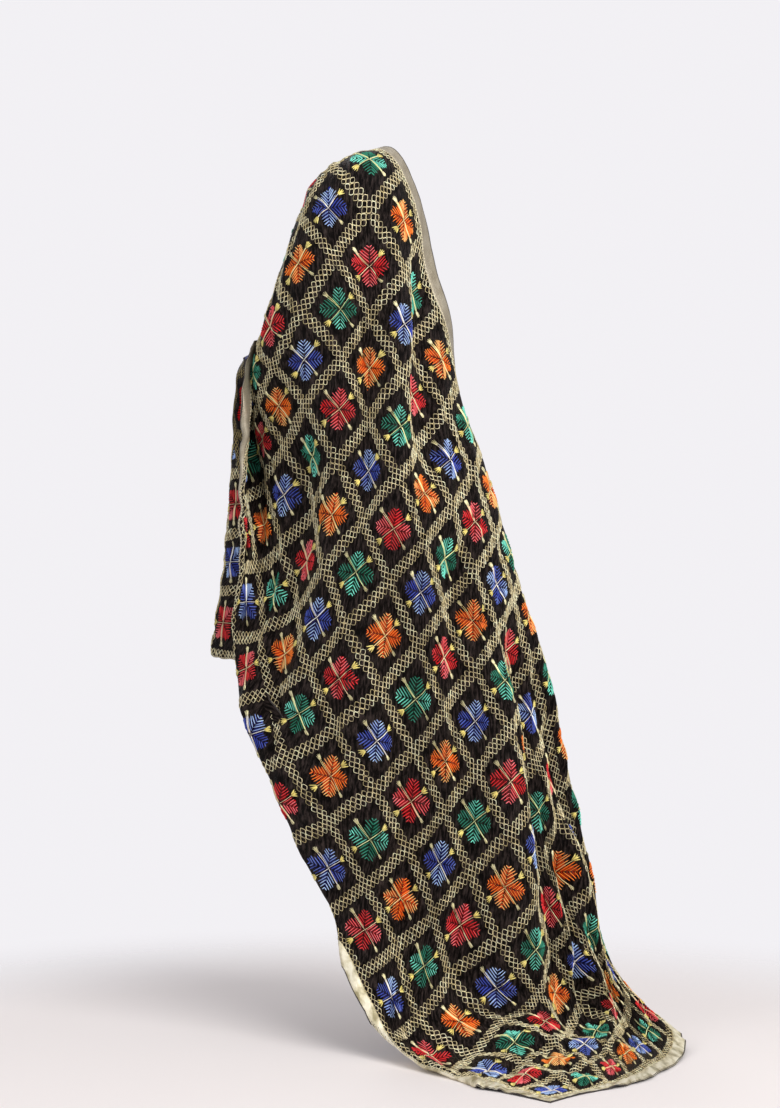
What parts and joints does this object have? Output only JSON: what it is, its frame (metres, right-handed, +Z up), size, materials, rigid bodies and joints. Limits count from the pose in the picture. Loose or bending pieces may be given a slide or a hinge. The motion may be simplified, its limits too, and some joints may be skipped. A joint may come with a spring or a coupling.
{
  "type": "embroidered dupatta shawl, draped",
  "caption": "Black phulkari shawl with gold chain lattice, diamond flower motifs and gota edging, draped over one shoulder and forearm and trailing on the floor.",
  "frame": {"origin": "on top of the shoulder that holds the shawl, on the ridge where the cloth turns from the front fall to the back fall", "axes": "+Z up, -Y the side the back fall faces, +X the side it trails to on the floor"},
  "size_m": [0.7919, 0.819, 1.5081],
  "materials": {
    "black_silk": "silky satin weave, embroidered",
    "pale_gold_gota": "metallic ribbon, satin"
  },
  "bodies": {
    "root": {"ground_front_fall": "black_silk", "ground_shoulder": "black_silk", "ground_back_fall": "black_silk", "ground_lower_fall": "black_silk", "ground_train": "black_silk", "gota_inner_edge": "pale_gold_gota", "gota_outer_edge": "pale_gold_gota", "gota_front_end": "pale_gold_gota", "gota_back_end": "pale_gold_gota"}
  },
  "joints": []
}
